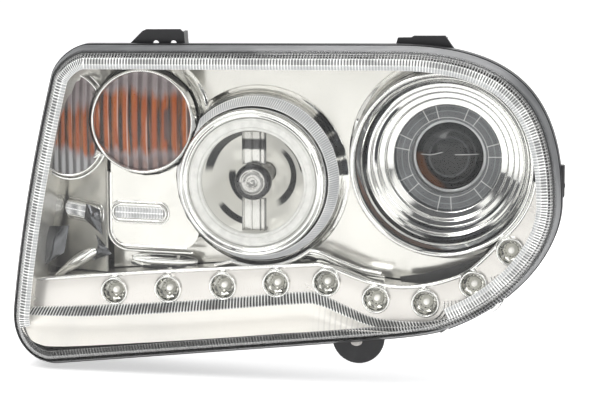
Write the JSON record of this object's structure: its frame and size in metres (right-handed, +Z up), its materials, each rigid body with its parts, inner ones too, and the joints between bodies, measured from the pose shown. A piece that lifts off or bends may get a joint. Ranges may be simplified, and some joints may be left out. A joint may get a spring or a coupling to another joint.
{
  "type": "car headlight assembly",
  "caption": "Right-hand car headlamp: clear lens over a chrome bezel with a projector low beam, high-beam bowl, turn signal, side marker and daytime LED strip.",
  "frame": {"origin": "centre of the front face of the lower fixing tab", "axes": "+X along the lamp towards the car's middle, +Y towards the back of the lamp, +Z up"},
  "size_m": [0.5083, 0.2174, 0.3091],
  "materials": {
    "black_plastic": "moulded black plastic with a fine grain",
    "clear_lens": "clear polycarbonate, hard coated",
    "rubber": "soft black rubber",
    "chrome": "vacuum-metallised plastic, lacquered",
    "circuit_board": "green lacquered circuit board",
    "led_epoxy": "clear epoxy LED body",
    "amber_plastic": "amber transparent plastic",
    "bulb_glass": "bulb glass with a metal base",
    "amber_glass": "amber coated bulb glass",
    "grey_plastic": "grey glass-filled plastic",
    "light_guide": "frosted clear light guide ring",
    "smoked_ring": "smoked translucent ring",
    "projector_glass": "thick optical glass",
    "cast_metal": "die-cast, satin",
    "spring_steel": "bright spring wire",
    "black_steel": "black coated pressed steel"
  },
  "bodies": {
    "housing": {"housing_shell": "black_plastic", "outer_lens": "clear_lens", "lens_seal": "rubber", "chrome_bezel": "chrome", "corner_bezel": "chrome", "led_strip_bezel": "chrome", "led_board": "circuit_board", "led_cup_1": "chrome", "led_1": "led_epoxy", "led_cup_2": "chrome", "led_2": "led_epoxy", "led_cup_3": "chrome", "led_3": "led_epoxy", "led_cup_4": "chrome", "led_4": "led_epoxy", "led_cup_5": "chrome", "led_5": "led_epoxy", "led_cup_6": "chrome", "led_6": "led_epoxy", "led_cup_7": "chrome", "led_7": "led_epoxy", "led_cup_8": "chrome", "led_8": "led_epoxy", "led_cup_9": "chrome", "led_9": "led_epoxy", "turn_reflector": "chrome", "turn_lens": "clear_lens", "turn_amber_filter": "amber_plastic", "marker_reflector": "chrome", "marker_lens": "amber_plastic", "front_reflex": "clear_lens", "side_reflex": "clear_lens", "high_beam_shroud": "chrome", "high_beam_halo": "light_guide", "projector_shroud": "chrome", "upper_outer_bracket": "black_steel", "upper_inner_bracket": "black_plastic", "lower_bracket": "black_plastic", "vent_cap": "rubber", "wiring_socket": "black_plastic"},
    "low_beam_unit": {"projector_holder": "cast_metal", "projector_reflector": "chrome", "projector_cutoff_shield": "black_steel", "projector_lens_retainer": "cast_metal", "projector_lens": "projector_glass", "projector_halo": "smoked_ring", "low_beam_bulb": "bulb_glass"},
    "low_beam_clip": {"low_beam_bulb_clip": "spring_steel"},
    "high_beam_unit": {"high_beam_reflector": "chrome", "high_beam_bulb_shield": "chrome", "high_beam_bulb": "bulb_glass"},
    "high_beam_clip": {"high_beam_bulb_clip": "spring_steel"},
    "low_beam_cap": {"low_beam_service_cap": "black_plastic"},
    "high_beam_cap": {"high_beam_service_cap": "black_plastic"},
    "low_beam_screw": {"low_beam_aim_screw": "grey_plastic"},
    "high_beam_screw": {"high_beam_aim_screw": "grey_plastic"},
    "turn_socket": {"turn_bulb_socket": "grey_plastic", "turn_bulb": "bulb_glass"},
    "marker_socket": {"marker_bulb_socket": "grey_plastic", "marker_bulb": "amber_glass"}
  },
  "joints": [
    {"name": "low_beam_aim", "type": "hinge", "parent": "housing", "child": "low_beam_unit", "pos_m": [0.078, 0.03784, 0.1695], "axis": [1, 0, 0], "range_deg": [-2.5, 2.5]},
    {"name": "low_beam_screw_turn", "type": "hinge", "parent": "housing", "child": "low_beam_screw", "pos_m": [0.078, 0.03784, 0.1075], "axis": [0, 1, 0], "range_deg": [-325, 325]},
    {"name": "high_beam_aim", "type": "hinge", "parent": "housing", "child": "high_beam_unit", "pos_m": [-0.093, 0.03184, 0.1465], "axis": [1, 0, 0], "range_deg": [-2.5, 2.5]},
    {"name": "high_beam_screw_turn", "type": "hinge", "parent": "housing", "child": "high_beam_screw", "pos_m": [-0.093, 0.03184, 0.0845], "axis": [0, 1, 0], "range_deg": [-325, 325]},
    {"name": "low_beam_clip_swing", "type": "hinge", "parent": "low_beam_unit", "child": "low_beam_clip", "pos_m": [0.096, 0.11024, 0.1695], "axis": [0, 0, -1], "range_deg": [0, 45]},
    {"name": "high_beam_clip_swing", "type": "hinge", "parent": "high_beam_unit", "child": "high_beam_clip", "pos_m": [-0.075, 0.06824, 0.1465], "axis": [0, 0, -1], "range_deg": [0, 45]},
    {"name": "low_beam_cap_turn", "type": "hinge", "parent": "housing", "child": "low_beam_cap", "pos_m": [0.078, 0.13984, 0.1695], "axis": [0, 1, 0], "range_deg": [0, 45]},
    {"name": "high_beam_cap_turn", "type": "hinge", "parent": "housing", "child": "high_beam_cap", "pos_m": [-0.093, 0.10584, 0.1465], "axis": [0, 1, 0], "range_deg": [0, 45]},
    {"name": "turn_socket_turn", "type": "hinge", "parent": "housing", "child": "turn_socket", "pos_m": [-0.197, 0.09284, 0.196], "axis": [0, 1, 0], "range_deg": [0, 60]},
    {"name": "marker_socket_turn", "type": "hinge", "parent": "housing", "child": "marker_socket", "pos_m": [-0.246, 0.10084, 0.187], "axis": [0, 1, 0], "range_deg": [0, 60]}
  ],
  "couplings": [
    {"joint": "low_beam_screw_turn", "follows": "low_beam_aim", "ratio": 129.85},
    {"joint": "high_beam_screw_turn", "follows": "high_beam_aim", "ratio": 129.85}
  ]
}
